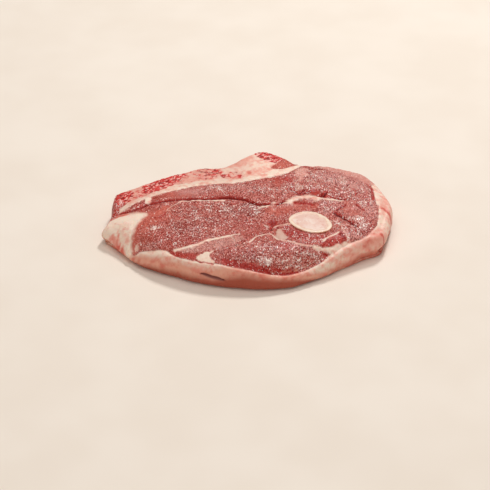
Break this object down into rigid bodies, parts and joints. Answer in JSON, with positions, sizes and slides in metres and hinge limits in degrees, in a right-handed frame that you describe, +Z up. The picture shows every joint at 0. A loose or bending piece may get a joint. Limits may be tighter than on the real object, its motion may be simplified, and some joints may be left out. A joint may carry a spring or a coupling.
{
  "type": "raw lamb shoulder chop",
  "caption": "Raw lamb shoulder chop cut across the round arm bone, with muscles parted by seams, a fat edge along the front and cut rib ends along the back.",
  "frame": {"origin": "middle of the outline on the flat underside, at z = 0", "axes": "+X along the chop from the fat lobe to the broad end, +Y from the fat edge to the ribs, +Z up out of the cut face"},
  "size_m": [0.1752, 0.1276, 0.0195],
  "materials": {
    "lean_meat": "moist satin, dark pink with fine pale grain",
    "fat": "waxy satin, cream with pink patches",
    "connective": "moist satin, cream and pale pink",
    "hard_bone": "smooth satin, cream",
    "bone_core": "fine-pored matte, pale pinkish cream",
    "rib_bone": "spongy, dark red with pale specks"
  },
  "bodies": {
    "root": {"lean": "lean_meat", "fat_rim": "fat", "rib_band": "connective", "arm_bone": "hard_bone", "arm_bone_core": "bone_core", "rib_1": "rib_bone", "rib_2": "rib_bone", "rib_3": "rib_bone", "rib_4": "rib_bone"}
  },
  "joints": []
}
